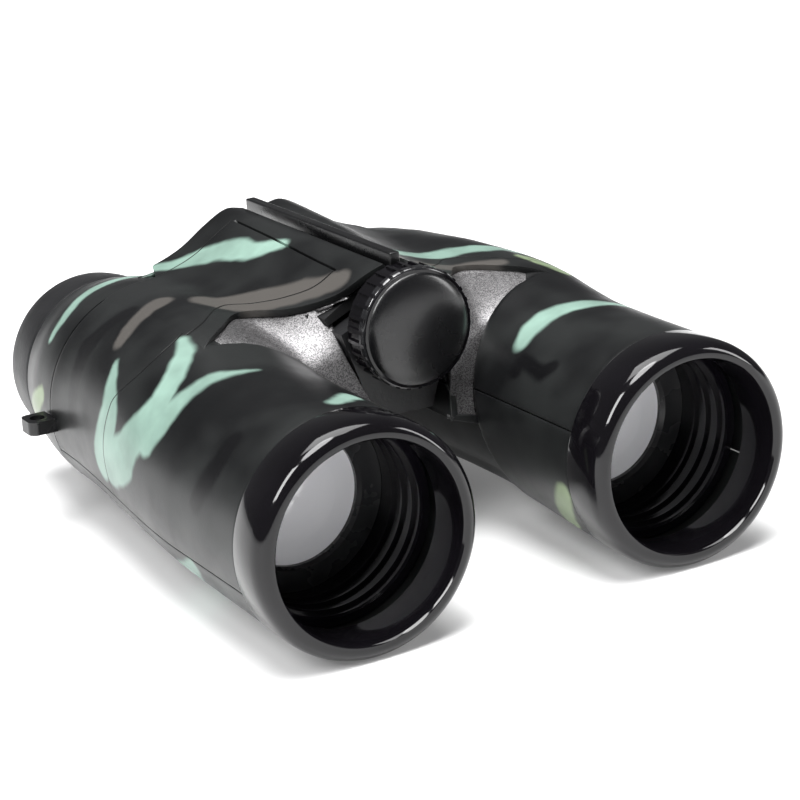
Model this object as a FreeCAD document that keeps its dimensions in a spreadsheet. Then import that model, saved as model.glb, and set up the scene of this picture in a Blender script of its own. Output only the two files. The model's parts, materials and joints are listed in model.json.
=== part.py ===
import FreeCAD, Part
import math
import os
import Sketcher

# Binoculars, millimetres. While it is built, the origin is midway between the two objective
# centres on the plane of the front lips: +X right, +Y towards the eyepieces, +Z up. At the end
# everything is lifted and centred, so that the part's own origin is under its middle.
# Each half is drawn as the right-hand one, lying flat, about its own barrel axis, then folded.

Vector = FreeCAD.Vector
Rotation = FreeCAD.Rotation
Placement = FreeCAD.Placement

sizes = {
    "total_length": 126.9,
    "half_span": 32.6,
    "fold_angle": 19.0,
    "bore_radius": 17.5,
    "ring_radius": 21.0,
    "ring_length": 9.2,
    "tube_radius": 20.8,
    "tube_rear_radius": 22.2,
    "shell_wall": 1.5,
    "shell_end": 94.5,
    "seam_gap": 0.12,
    "lens_radius": 13.4,
    "lens_station": 28.2,
    "ocular_offset": 5.2,
    "ocular_radius": 16.0,
    "cover_end": 114.4,
    "cup_start": 115.0,
    "flank_offset": 25.9,
    "deck_end": 101.5,
    "hinge_height": 29.8,
    "pin_radius": 0.9,
    "knuckle_radius": 1.9,
    "running_gap": 0.05,
    "wheel_height": 21.6,
    "wheel_radius": 10.9,
    "wheel_front": 37.0,
    "wheel_back": 44.4,
    "screw_radius": 2.0,
    "housing_front": 45.0,
    "housing_back": 75.5,
    "bar_width": 1.6,
    "bar_top": 34.5,
    "lug_hole_radius": 1.5,
}

doc = FreeCAD.newDocument("binoculars")
sheet = doc.addObject("Spreadsheet::Sheet", "Dimensions")
for row, (alias, value) in enumerate(sizes.items(), start=1):
    sheet.set("A%d" % row, alias.replace("_", " "))
    sheet.set("B%d" % row, str(value))
    sheet.setAlias("B%d" % row, alias)
doc.recompute()


class Size:
    """A length that knows its value and the spreadsheet expression it comes from."""

    def __init__(self, value, text):
        self.value = value
        self.text = text

    def __add__(self, other):
        other = as_size(other)
        return Size(self.value + other.value, "(%s + %s)" % (self.text, other.text))

    def __sub__(self, other):
        other = as_size(other)
        return Size(self.value - other.value, "(%s - %s)" % (self.text, other.text))

    def __mul__(self, number):
        return Size(self.value * number, "(%s * %s)" % (self.text, number))

    def __neg__(self):
        return self * -1.0


def as_size(value):
    if isinstance(value, Size):
        return value
    return Size(float(value), repr(float(value)))


def size(alias):
    return Size(sizes[alias], "<<Dimensions>>.%s" % alias)


def bind(thing, path, value):
    """Sets a property from a size, and keeps it tied to the spreadsheet."""
    thing.setExpression(path, as_size(value).text)


total_length = size("total_length")
half_span = size("half_span")
bore = size("bore_radius")
ring = size("ring_radius")
ring_length = size("ring_length")
tube = size("tube_radius")
tube_rear = size("tube_rear_radius")
wall = size("shell_wall")
shell_end = size("shell_end")
lens = size("lens_radius")
lens_at = size("lens_station")
ocular_offset = size("ocular_offset")
ocular = size("ocular_radius")
cover_end = size("cover_end")
cup_start = size("cup_start")
flank = size("flank_offset")
deck_end = size("deck_end")
hinge_height = size("hinge_height")
pin_radius = size("pin_radius")
knuckle = size("knuckle_radius")
gap = size("running_gap")
wheel_height = size("wheel_height")
wheel = size("wheel_radius")
wheel_front = size("wheel_front")
wheel_back = size("wheel_back")
screw = size("screw_radius")
housing_front = size("housing_front")
housing_back = size("housing_back")
bar_width = size("bar_width")
bar_top = size("bar_top")
lug_hole = size("lug_hole_radius")

fold = sizes["fold_angle"]
fold_cos = math.cos(math.radians(fold))
fold_sin = math.sin(math.radians(fold))
# The hinge axis as the flat right half sees it, from its barrel axis.
hinge_across = -half_span.value * fold_cos - hinge_height.value * fold_sin
hinge_up = -half_span.value * fold_sin + hinge_height.value * fold_cos

to_origin = Vector(0, -total_length.value / 2, ring.value)
right_half = Placement(Vector(half_span.value, 0, 0) + to_origin, Rotation(Vector(0, 1, 0), fold))
centre = Placement(to_origin, Rotation())


def half_at(across, along=0.0, up=0.0):
    """The placement of a piece of the right half whose own origin is at that point of the half."""
    return right_half.multiply(Placement(Vector(across, along, up), Rotation()))


def centre_at(across, along=0.0, up=0.0):
    return centre.multiply(Placement(Vector(across, along, up), Rotation()))


def plane_of(body, role):
    for feature in body.Origin.OriginFeatures:
        if feature.Role == role:
            return feature
    raise ValueError(role)


def pin_down(sketch, index, across, up):
    """Fixes the start of a sketch line, each coordinate tied to the spreadsheet."""
    for letter, kind, axis, value in (("x", "DistanceX", -2, across), ("z", "DistanceY", -1, up)):
        value = as_size(value)
        if abs(value.value) < 1e-9:
            sketch.addConstraint(Sketcher.Constraint("PointOnObject", index, 1, axis))
            continue
        number = sketch.addConstraint(Sketcher.Constraint(kind, -1, 1, index, 1, value.value))
        name = "%s%d" % (letter, index)
        sketch.renameConstraint(number, name)
        bind(sketch, "Constraints.%s" % name, value)


def outline(body, name, role, points, offset=0.0):
    """A closed polygon sketched on one of the body's origin planes."""
    sketch = body.newObject("Sketcher::SketchObject", name)
    sketch.AttachmentSupport = (plane_of(body, role), "")
    sketch.MapMode = "FlatFace"
    sketch.AttachmentOffset = Placement(Vector(0, 0, offset), Rotation())
    corners = [Vector(as_size(a).value, as_size(b).value, 0) for a, b in points]
    for index, start in enumerate(corners):
        end = corners[(index + 1) % len(corners)]
        sketch.addGeometry(Part.LineSegment(start, end), False)
    for index in range(len(corners)):
        following = (index + 1) % len(corners)
        sketch.addConstraint(Sketcher.Constraint("Coincident", index, 2, following, 1))
    for index, (a, b) in enumerate(points):
        pin_down(sketch, index, a, b)
    return sketch


def new_body(label, place):
    body = doc.addObject("PartDesign::Body", label)
    body.Label = label
    body.Placement = place
    return body


def turned(label, points, place):
    """A body of revolution about Y. Points are (radius, distance along Y)."""
    body = new_body(label, place)
    sketch = outline(body, label + "_profile", "XY_Plane", points)
    spin = body.newObject("PartDesign::Revolution", label + "_turn")
    spin.Profile = sketch
    spin.ReferenceAxis = (sketch, ["V_Axis"])
    spin.Angle = 360.0
    return body


def padded(label, points, start, length, place):
    """A prism along +Y from start. Points are (across, up)."""
    body = new_body(label, place)
    add_pad(body, label + "_pad", points, start, length)
    return body


def add_pad(body, name, points, start, length):
    sketch = outline(body, name + "_outline", "XZ_Plane", points, -as_size(start).value)
    pad = body.newObject("PartDesign::Pad", name)
    pad.Profile = sketch
    pad.Reversed = True
    bind(pad, "Length", length)
    return pad


def cylinder(name, radius, start, length, place):
    """A round bar along +Y: placed by its axis, starting at the given distance along Y."""
    rod = doc.addObject("Part::Cylinder", name)
    bind(rod, "Radius", radius)
    bind(rod, "Height", length)
    turn = Placement(Vector(0, as_size(start).value, 0), Rotation(Vector(1, 0, 0), -90))
    rod.Placement = place.multiply(turn)
    return rod


def box(name, low, high, place):
    """A block from its low corner to its high corner, in the frame of its placement."""
    block = doc.addObject("Part::Box", name)
    bind(block, "Length", as_size(high[0]) - low[0])
    bind(block, "Width", as_size(high[1]) - low[1])
    bind(block, "Height", as_size(high[2]) - low[2])
    corner = Vector(*[as_size(value).value for value in low])
    block.Placement = place.multiply(Placement(corner, Rotation()))
    return block


def fuse(name, pieces):
    joined = doc.addObject("Part::MultiFuse", name)
    joined.Shapes = pieces
    return joined


def cut(name, base, tool):
    result = doc.addObject("Part::Cut", name)
    result.Base = base
    result.Tool = tool
    return result


def common(name, base, tool):
    result = doc.addObject("Part::Common", name)
    result.Base = base
    result.Tool = tool
    return result


subparts = []


def keep(piece, label):
    piece.Label = label
    subparts.append(piece)
    return piece


def keep_pair(piece, name):
    """Keeps a piece of the right half, and its mirror image for the left half."""
    keep(piece, "right_" + name)
    mirrored = doc.addObject("Part::Mirroring", "left_" + name)
    mirrored.Source = piece
    mirrored.Normal = Vector(1, 0, 0)
    mirrored.Base = Vector(0, 0, 0)
    keep(mirrored, "left_" + name)


# ---- front optics of each half ----

spigot_radius = 18.9
tube_back_radius = 17.4


def objective_ring():
    lip = [(bore, 0.9), (bore + 0.4, 0.25), (bore + 1.1, 0), (bore + 2.0, 0.25), (bore + 2.7, 0.9)]
    shoulder = [(bore + 3.1, 1.9), (ring, 3.4), (ring, ring_length)]
    spigot = [(spigot_radius, ring_length), (spigot_radius, 13.0), (bore - 0.2, 13.0)]
    return turned("objective_ring", lip + shoulder + spigot + [(bore - 0.2, 8.6), (bore, 8.0)],
                  half_at(0))


def lens_tube():
    """The baffled tube between the ring and the lens, a little conical like the shell around it."""
    front = [(bore - 0.3, 13.1), (spigot_radius - 0.3, 13.1), (tube_back_radius, 34.0), (lens, 34.0)]
    seat = [(lens, 33.6), (lens - 1.4, 33.6), (lens - 1.4, 32.6), (lens + 0.1, 32.6)]
    rear_step = [(lens + 0.1, lens_at), (bore - 0.6, lens_at)]
    steps = []
    for station in (22.0, 18.6, 15.2):
        steps += [(bore - 0.6, station + 0.6), (bore - 1.2, station + 0.6)]
        steps += [(bore - 1.2, station), (bore - 0.6, station)]
    return turned("lens_tube", front + seat + rear_step + steps + [(bore - 0.6, 13.6)], half_at(0))


def lens_retainer():
    inner = lens - 1.15
    outer = bore - 0.65
    profile = [(inner, lens_at - 0.9), (inner + 0.7, lens_at - 1.5), (outer, lens_at - 1.5),
               (outer, lens_at - 0.05), (inner, lens_at - 0.05)]
    return turned("lens_retainer", profile, half_at(0))


def objective_lens():
    dome = [(0, lens_at - 1.3), (lens * 0.3, lens_at - 1.15), (lens * 0.6, lens_at - 0.7),
            (lens * 0.88, lens_at + 0.02), (lens, lens_at + 0.05)]
    return turned("objective_lens", dome + [(lens, lens_at + 4.35), (0, lens_at + 4.35)], half_at(0))


# ---- shells ----

deck_stations = {
    38.0: (20.9, 20.0, 18.4, 17.8, 18.2, 18.2, 17.4),
    60.0: (21.0, 21.0, 19.6, 18.8, 19.0, 18.6, 17.6),
    80.0: (21.2, 22.2, 21.2, 19.9, 19.6, 18.9, 17.8),
    101.5: (21.4, 23.0, 22.3, 20.6, 19.9, 19.2, 18.0),
}
deck_across = (-39.3, -36.0, -30.5, -24.0, -17.0, -10.0, -4.0)
barrel_sections = {
    ring_length.value + 0.1: (20.85, 20.8), 15.0: (20.85, 20.4), 22.0: (20.85, 19.9), 28.0: (20.9, 19.4),
    34.0: (21.0, 19.0), 40.0: (21.3, 18.6), 48.0: (22.4, 18.1), 55.0: (23.6, 17.85), 62.0: (24.15, 17.7),
    70.0: (24.1, 17.7), 78.0: (23.75, 17.8), 86.0: (23.0, 17.85), shell_end.value: (22.2, 17.9),
}
section_points = 32
deck_skin = 1.6
flap_edge_skin = 1.1
bridge_floor = -6.0


def section(name, station, edges):
    """A closed sketch across the half at that station. Edges are curves in (across, up)."""
    sketch = doc.addObject("Sketcher::SketchObject", name)
    sketch.Placement = half_at(0, station).multiply(Placement(Vector(), Rotation(Vector(1, 0, 0), 90)))
    for edge in edges:
        sketch.addGeometry(edge, False)
    return sketch


def chain(points):
    """Straight edges from each point to the next."""
    corners = [Vector(a, b, 0) for a, b in points]
    return [Part.LineSegment(a, b) for a, b in zip(corners, corners[1:])]


def smooth(points):
    curve = Part.BSplineCurve()
    curve.interpolate([Vector(a, b, 0) for a, b in points])
    return [curve]


def loft(name, sections):
    lofted = doc.addObject("Part::Loft", name)
    lofted.Sections = sections
    lofted.Solid = True
    lofted.Ruled = False
    return lofted


def deck_outside():
    """The bridge from the barrel to the hinge, with the thin flap that covers the centre."""
    sections = []
    for station, heights in deck_stations.items():
        top = list(zip(deck_across, heights))
        edge_under = (deck_across[0], heights[0] - flap_edge_skin)
        root_under = (-flank.value, heights[2] - deck_skin - 0.9)
        floor_in = (-flank.value, bridge_floor)
        floor_out = (deck_across[-1], bridge_floor)
        straight = chain([top[-1], floor_out, floor_in, root_under, edge_under, top[0]])
        sections.append(section("deck_outside_%d" % station, station, smooth(top) + straight))
    return loft("deck_outside", sections)


def deck_cavity(name, inset):
    """The hollow of the bridge, or with an inset, a block that fits in it."""
    inner_wall = -flank.value + wall.value + inset
    skin = deck_skin + inset
    sections = []
    for station, heights in deck_stations.items():
        top = [(inner_wall, heights[3] - skin)]
        top += [(a, b - skin) for a, b in zip(deck_across[4:], heights[4:])]
        floor = bridge_floor + wall.value + inset
        straight = chain([top[-1], (deck_across[-1], floor), (inner_wall, floor), top[0]])
        sections.append(section("%s_%d" % (name, station), station, smooth(top) + straight))
    return loft(name, sections)


def round_section(middle, radius, height, depth):
    """A closed curve: half an ellipse of that height above the middle plane, one of that depth below."""
    points = []
    for number in range(section_points):
        turn = 2 * math.pi * number / section_points
        up = math.sin(turn)
        reach = height if up > 0 else depth
        points.append(Vector(middle + radius * math.cos(turn), reach * up, 0))
    curve = Part.BSplineCurve()
    curve.interpolate(Points=points, PeriodicFlag=True)
    return [curve]


def barrel_loft(name, inset, overrun):
    """The barrel drifts from the objective axis to the ocular axis, with a hump over the prism."""
    sections = []
    start = 34.0
    for station, (height, depth) in barrel_sections.items():
        share = max(0.0, (station - start) / (shell_end.value - start))
        ease = share * share * (3 - 2 * share)
        radius = tube.value + (tube_rear.value - tube.value) * ease
        shift = -overrun if station < start else overrun * (station == shell_end.value)
        outline_curve = round_section(-ocular_offset.value * ease, radius - inset, height - inset,
                                      depth - inset)
        sections.append(section("%s_%d" % (name, station), station + shift, outline_curve))
    return loft(name, sections)


def front_slope(name, setback):
    """Everything in front of the sloping plane where the textured panel lies."""
    wedge = doc.addObject("Part::Box", name)
    wedge.Length = 60.0
    wedge.Width = 60.0
    wedge.Height = 80.0
    lean = Rotation(Vector(1, 0, 0), -panel_lean)
    corner = Placement(Vector(-45.0, panel_foot + setback, 0), lean)
    wedge.Placement = half_at(0).multiply(corner).multiply(Placement(Vector(0, -60, -40), Rotation()))
    return wedge


boss_across = -21.8
screw_stations = (57.0, 73.0)
panel_foot = 41.0
panel_lean = math.degrees(math.atan(0.4))
panel_recess = 0.9
panel_thickness = 1.4


def shells():
    """The upper and lower shell, split along the barrel's middle plane."""
    deck = cut("deck_front", deck_outside(), front_slope("front_slope", 0.0))
    clear = cylinder("ocular_clearance", tube_rear + 0.4, shell_end, 20.0, half_at(-ocular_offset.value))
    deck = cut("deck_rear", deck, clear)
    outside = fuse("half_outside", [barrel_loft("barrel", 0.0, 0.0), deck])
    bridge = cut("deck_hollow", deck_cavity("deck_cavity", 0.0), front_slope("cavity_front", 0.0))
    cavity = fuse("half_cavity", [barrel_loft("barrel_cavity", wall.value, 0.2), bridge])
    hollow = cut("half_hollow", outside, cavity)
    slot = box("arm_slot", (-30, 80.3, 11.4), (-20, 89.7, 16.6), half_at(0))
    bosses = []
    holes = [slot]
    for number, along in enumerate(screw_stations):
        low = (boss_across - 2.6, along - 2.6, bridge_floor + 0.1)
        high = (boss_across + 2.6, along + 2.6, 9.0)
        bosses.append(box("boss_%d" % number, low, high, half_at(0)))
        holes.append(upright("boss_bore_%d" % number, 1.0, along, bridge_floor - 1, 14.0))
        holes.append(upright("boss_sink_%d" % number, 2.2, along, bridge_floor - 1, 3.0))
    hollow = fuse("half_bossed", [hollow] + bosses)
    hollow = cut("half_slotted", hollow, fuse("half_holes", holes))
    far = 80.0
    seam = sizes["seam_gap"]
    above = box("above_seam", (-far, 0, seam), (far, 130, far), half_at(0))
    below = box("below_seam", (-far, 0, -far), (far, 130, -seam), half_at(0))
    keep_pair(common("upper_shell", hollow, above), "upper_shell")
    keep_pair(common("lower_shell", hollow, below), "lower_shell")


def front_panel():
    """The textured plate in the sloping front of the bridge."""
    slab = cut("panel_slab", deck_cavity("panel_block", 0.1), front_slope("panel_front", panel_recess))
    back = front_slope("panel_back", panel_recess + panel_thickness)
    slab = common("panel_plate", slab, back)
    bar = cylinder("panel_barrel", tube - wall + 0.6, 20.0, 60.0, half_at(0))
    return cut("front_panel", slab, bar)


def upright(name, radius, along, low, length):
    """A round bar standing along the half's own up direction, on the line of the shell screws."""
    rod = doc.addObject("Part::Cylinder", name)
    bind(rod, "Radius", radius)
    bind(rod, "Height", length)
    rod.Placement = half_at(boss_across, along, low)
    return rod


def shell_screws():
    rods = []
    for number, along in enumerate(screw_stations):
        head = upright("screw_head_%d" % number, 2.0, along, bridge_floor + 0.2, 1.7)
        shank = upright("screw_shank_%d" % number, 0.95, along, bridge_floor + 1.5, 11.0)
        rods.append(fuse("shell_screw_%d" % number, [head, shank]))
    group = doc.addObject("Part::Compound", "shell_screws")
    group.Links = rods
    return group


# ---- prism and eyepiece of each half ----

prism_start = 52.0
prism_length = 20.0
prism_half = 7.0


def prism():
    body = new_body("prism", half_at(0, 0, -prism_half))
    end = prism_start + prism_length
    drift = -ocular_offset
    corners = [(-prism_half, prism_start), (prism_half, prism_start),
               (drift + prism_half, end), (drift - prism_half, end)]
    sketch = outline(body, "prism_outline", "XY_Plane", corners)
    pad = body.newObject("PartDesign::Pad", "prism_pad")
    pad.Profile = sketch
    bind(pad, "Length", 2 * prism_half)
    return body


def prism_cradle():
    floor = -prism_half - 0.1
    start = prism_start - 2.4
    end = prism_start + prism_length + 2.4
    tray = box("cradle_tray", (-14.5, start, floor - 2.0), (9.5, end, floor), half_at(0))
    front = box("cradle_front", (-9.0, start, floor - 1.0), (9.0, start + 1.6, floor + 4.0), half_at(0))
    rear = box("cradle_rear", (-13.5, end - 1.6, floor - 1.0), (3.5, end, floor + 4.0), half_at(0))
    legs = [box("cradle_leg_%d" % number, (across, start, -14.9), (across + 1.6, end, floor - 1.0),
                half_at(0)) for number, across in enumerate((-6.0, 1.0))]
    return fuse("prism_cradle", [tray, front, rear] + legs)


cover_sections = {
    94.9: (tube_rear.value - 0.05, 17.85), 100.0: (21.7, 17.9), 106.5: (20.7, 18.0),
    112.0: (19.4, 18.4), cover_end.value: (18.9, 18.8),
}


def ocular_cover():
    """The tapering sleeve behind the shell, with the round bore that the ocular tube slides in."""
    sections = []
    for station, (radius, depth) in cover_sections.items():
        curve = round_section(-ocular_offset.value, radius, radius, depth)
        sections.append(section("cover_%d" % station, station, curve))
    at_ocular = half_at(-ocular_offset.value)
    spigot = cylinder("cover_spigot", tube_rear - 1.7, 91.6, 4.0, at_ocular)
    upper = box("cover_upper", (-40, 80, 0.5), (40, 130, 40), half_at(0))
    solid = fuse("cover_solid", [loft("cover_loft", sections), common("cover_half_spigot", spigot, upper)])
    relief = common("cover_relief", cylinder("cover_hollow", ocular + 2.6, 90.0, 14.0, at_ocular), upper)
    bored = cylinder("cover_bore", ocular + gap, 85.0, 40.0, at_ocular)
    return cut("ocular_cover", solid, fuse("cover_cuts", [relief, bored]))


def ocular_tube():
    bore_wall = ocular - 2.4
    profile = [(bore_wall, 78.0), (ocular, 78.0), (ocular, 120.9), (bore_wall - 0.4, 120.9),
               (bore_wall - 0.4, 119.4), (bore_wall, 119.4)]
    return turned("ocular_tube", profile, half_at(-ocular_offset.value))


def eyecup():
    outside = [(ocular + 0.03, cup_start), (ocular + 2.6, cup_start), (ocular + 2.5, 118.0),
               (ocular + 2.0, 123.0), (ocular + 1.6, 125.6), (ocular + 1.1, total_length - 0.3),
               (ocular + 0.5, total_length)]
    inside = [(ocular - 0.6, total_length), (ocular - 1.4, total_length - 0.7),
              (ocular - 2.4, 122.6), (ocular - 2.8, 121.0), (ocular + 0.03, 121.0)]
    return turned("eyecup", outside + inside, half_at(-ocular_offset.value))


def eye_lens():
    profile = [(0, 114.2), (5.0, 114.45), (9.0, 115.2), (11.0, 115.8), (11.0, 117.6), (8.0, 118.3),
               (4.0, 118.7), (0, 118.8)]
    return turned("eye_lens", profile, half_at(-ocular_offset.value))


def eye_lens_ring():
    inner = 11.05
    outer = ocular - 2.45
    profile = [(inner, 113.6), (outer, 113.6), (outer, 119.3), (inner + 0.9, 119.3), (inner, 118.2)]
    return turned("eye_lens_ring", profile, half_at(-ocular_offset.value))


lug_reach = 27.5
lug_hole_reach = 24.9
lug_span = (91.8, 97.8)
lug_low = -2.6


def strap_lug():
    """An eye for a strap, standing straight out sideways from the barrel of the folded half."""
    level = half_at(-ocular_offset.value).multiply(Placement(Vector(), Rotation(Vector(0, 1, 0), -fold)))
    plate = box("lug_plate", (20.0, lug_span[0], lug_low), (lug_reach, lug_span[1], 0), level)
    rounded = doc.addObject("Part::Fillet", "lug_rounded")
    rounded.Base = plate
    rounded.Edges = [(5, 1.6, 1.6), (7, 1.6, 1.6)]
    hole = doc.addObject("Part::Cylinder", "lug_hole")
    bind(hole, "Radius", lug_hole)
    bind(hole, "Height", 10.0)
    middle = Vector(lug_hole_reach, (lug_span[0] + lug_span[1]) / 2, lug_low - 3.0)
    hole.Placement = level.multiply(Placement(middle, Rotation()))
    body = cylinder("lug_seat", tube_rear + 0.03, 85.0, 20.0, half_at(-ocular_offset.value))
    return cut("strap_lug", rounded, fuse("lug_cuts", [hole, body]))


# ---- hinge ----

right_knuckles = ((48.8, 54.2), (63.8, 67.6))
left_knuckles = ((54.5, 59.7), (67.9, 71.7))
centre_knuckles = ((45.0, 48.5), (60.0, 63.5), (72.0, 75.5))
right_eye = (81.0, 83.0)
left_eye = (83.3, 85.3)
fork_ears = ((78.5, 80.7), (85.6, 87.8))


def knuckle_ring(name, span, place):
    return cylinder(name, knuckle, span[0], span[1] - span[0], place)


def hinge_bore(name, place):
    return cylinder(name, pin_radius + gap, 40.0, 70.0, place)


def hinge_arm(name, spans):
    """The plate under the flap that carries a half's knuckles."""
    at_hinge = half_at(hinge_across, 0, hinge_up)
    clear = hinge_across + 2.3
    plate = [(clear, 15.6), (-26.0, 14.5), (-26.0, 16.0), (clear, 18.4)]
    pieces = [padded(name + "_plate", plate, 48.8, 22.9, half_at(0))]
    for number, span in enumerate(spans):
        reach = [(hinge_across + 0.3, 15.9), (clear + 0.5, 15.6), (clear + 0.5, 18.3),
                 (hinge_across + 0.3, 19.2)]
        length = span[1] - span[0]
        pieces.append(padded("%s_reach_%d" % (name, number), reach, span[0], length, half_at(0)))
        pieces.append(knuckle_ring("%s_knuckle_%d" % (name, number), span, at_hinge))
    return cut(name, fuse(name + "_solid", pieces), hinge_bore(name + "_bore", at_hinge))


def focus_arm(name, span):
    """The arm from an ocular tube to the hinge pin, where the carriage's fork holds its eye."""
    at_hinge = half_at(hinge_across, 0, hinge_up)
    plate = [(hinge_across + 0.5, 15.9), (-29.0, 14.0), (-19.2, 10.6), (-17.4, 12.2),
             (-28.5, 16.0), (hinge_across + 1.2, 18.8)]
    length = span[1] - span[0]
    pieces = [padded(name + "_plate", plate, span[0], length, half_at(0))]
    pieces.append(knuckle_ring(name + "_eye", span, at_hinge))
    at_ocular = half_at(-ocular_offset.value)
    pieces.append(cylinder(name + "_clamp", ocular + 1.6, span[0], 4.0, at_ocular))
    tools = [hinge_bore(name + "_bore", at_hinge)]
    tools.append(cylinder(name + "_seat", ocular + 0.03, 70.0, 40.0, at_ocular))
    tools.append(box(name + "_open_side", (-30, 70, -30), (30, 110, -6), half_at(0)))
    return cut(name, fuse(name + "_solid", pieces), fuse(name + "_tools", tools))


def hinge_pin():
    end = deck_end + 1.0
    profile = [(0, 45.3), (pin_radius, 45.3), (pin_radius, end - 0.7), (1.5, end - 0.7), (1.5, end),
               (0, end)]
    return turned("hinge_pin", profile, centre_at(0, 0, hinge_height.value))


def hinge_cover_bar():
    """The thin bar on top, standing on the centre knuckles, with an eye at its rear for the pin."""
    at_pin = centre_at(0, 0, hinge_height.value)
    half = bar_width.value / 2
    low = hinge_height.value + 2.8
    strip = box("bar_strip", (-half, 44.9, low), (half, deck_end + 1.2, bar_top), centre_at(0))
    feet = [box("bar_foot_%d" % number, (-half + 0.1, span[0], low - 1.6),
                (half - 0.1, span[1], low + 0.5), centre_at(0))
            for number, span in enumerate(centre_knuckles)]
    relief = cylinder("bar_relief", knuckle + 0.03, 40.0, 55.0, at_pin)
    top = cut("bar_top_part", fuse("bar_and_feet", [strip] + feet), relief)
    leg = box("bar_leg", (-half, 98.0, hinge_height.value), (half, 101.6, low + 0.5), centre_at(0))
    eye = knuckle_ring("bar_eye", (98.0, 101.6), at_pin)
    joined = fuse("bar_solid", [top, leg, eye])
    return cut("hinge_cover_bar", joined, hinge_bore("bar_bore", at_pin))


# ---- centre housing ----

housing_outline = [(-6.0, 4.0), (6.0, 4.0), (12.0, 21.2), (1.2, 26.2), (-1.2, 26.2), (-12.0, 21.2)]
housing_hollow = [(-4.9, 5.5), (4.9, 5.5), (10.2, 20.4), (1.0, 24.6), (-1.0, 24.6), (-10.2, 20.4)]


def centre_housing():
    length = housing_back - housing_front
    outer = padded("housing_outer", housing_outline, housing_front, length, centre_at(0))
    hollow = padded("housing_inner", housing_hollow, housing_front + 3.0, length, centre_at(0))
    at_pin = centre_at(0, 0, hinge_height.value)
    shell = cut("housing_shell", outer, hollow)
    pieces = [shell]
    for number, span in enumerate(centre_knuckles):
        web = ((-0.9, span[0], 25.9), (0.9, span[1], hinge_height.value))
        pieces.append(box("housing_web_%d" % number, web[0], web[1], centre_at(0)))
        pieces.append(knuckle_ring("housing_knuckle_%d" % number, span, at_pin))
    tools = [hinge_bore("housing_bore", at_pin)]
    at_wheel = centre_at(0, 0, wheel_height.value)
    tools.append(cylinder("bush_hole", screw + 1.43, 40.0, 12.0, at_wheel))
    return cut("centre_housing", fuse("housing_solid", pieces), fuse("housing_tools", tools))


def centre_cover():
    plate = padded("cover_plate", housing_outline, housing_back + 0.1, 1.4, centre_at(0))
    hole = cylinder("cover_hole", screw + 0.4, 70.0, 12.0, centre_at(0, 0, wheel_height.value))
    return cut("centre_cover", plate, hole)


# ---- focus wheel, screw and carriage ----

at_wheel_axis = centre_at(0, 0, wheel_height.value)
rib_count = 30


def wheel_bush():
    inner = screw + gap
    outer = screw + 1.4
    profile = [(inner, housing_front), (outer, housing_front), (outer, housing_front + 3.0),
               (outer - 0.4, housing_front + 3.9), (inner, housing_front + 3.9)]
    return turned("wheel_bush", profile, at_wheel_axis)


def wheel_rim():
    """The wheel with its moulded grip ribs."""
    profile = [(1.6, wheel_front + 2.2), (wheel - 0.7, wheel_front + 2.2), (wheel - 0.7, wheel_front + 0.9),
               (wheel, wheel_front + 0.9), (wheel, wheel_back), (1.6, wheel_back)]
    body = turned("wheel_rim", profile, at_wheel_axis)
    rib = [(-0.42, wheel - 0.2), (0.42, wheel - 0.2), (0.34, wheel + 0.45), (-0.34, wheel + 0.45)]
    pad = add_pad(body, "grip_rib", rib, wheel_front + 1.5, 5.3)
    ribs = body.newObject("PartDesign::PolarPattern", "grip_ribs")
    ribs.Originals = [pad]
    ribs.Axis = (plane_of(body, "Y_Axis"), [""])
    ribs.Angle = 360.0
    ribs.Occurrences = rib_count
    body.Tip = ribs
    return body


def wheel_bezel():
    inner = wheel - 0.75
    profile = [(inner, wheel_front), (wheel - 0.3, wheel_front), (wheel - 0.05, wheel_front + 0.25),
               (wheel - 0.05, wheel_front + 0.85), (inner, wheel_front + 0.85)]
    return turned("wheel_bezel", profile, at_wheel_axis)


def wheel_cap():
    edge = wheel - 0.8
    dome = [(0, wheel_front - 0.7), (edge * 0.35, wheel_front - 0.62), (edge * 0.65, wheel_front - 0.4),
            (edge * 0.88, wheel_front - 0.08), (edge, wheel_front + 0.25)]
    return turned("wheel_cap", dome + [(edge, wheel_front + 2.15), (0, wheel_front + 2.15)],
                  at_wheel_axis)


def focus_screw():
    end = 92.5
    profile = [(0, wheel_front + 2.25), (1.58, wheel_front + 2.25), (1.58, wheel_back + 0.05),
               (screw, wheel_back + 0.05), (screw, end - 0.6), (screw - 0.6, end), (0, end)]
    return turned("focus_screw", profile, at_wheel_axis)


def wheel_clip():
    start = housing_front + 4.25
    profile = [(screw + 0.02, start), (screw + 0.8, start), (screw + 0.8, start + 0.8),
               (screw + 0.02, start + 0.8)]
    return turned("wheel_clip", profile, at_wheel_axis)


def focus_carriage():
    """The nut on the focus screw, with a fork that rides on the hinge pin."""
    at_pin = centre_at(0, 0, hinge_height.value)
    start = fork_ears[0][0]
    end = fork_ears[1][1]
    nut = cylinder("carriage_nut", screw + 2.1, start + 2.2, end - start - 4.4, at_wheel_axis)
    web = box("carriage_web", (-1.0, start, 25.3), (1.0, end, 27.4), centre_at(0))
    neck = box("carriage_neck", (-1.0, start + 2.2, 24.0), (1.0, end - 2.2, 26.0), centre_at(0))
    pieces = [nut, web, neck]
    for number, span in enumerate(fork_ears):
        post = box("fork_post_%d" % number, (-1.0, span[0], 26.5), (1.0, span[1], 29.8), centre_at(0))
        pieces += [post, knuckle_ring("fork_ear_%d" % number, span, at_pin)]
    tools = [hinge_bore("carriage_bore", at_pin)]
    tools.append(cylinder("nut_bore", screw + gap, 70.0, 30.0, at_wheel_axis))
    return cut("focus_carriage", fuse("carriage_solid", pieces), fuse("carriage_tools", tools))


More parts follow.
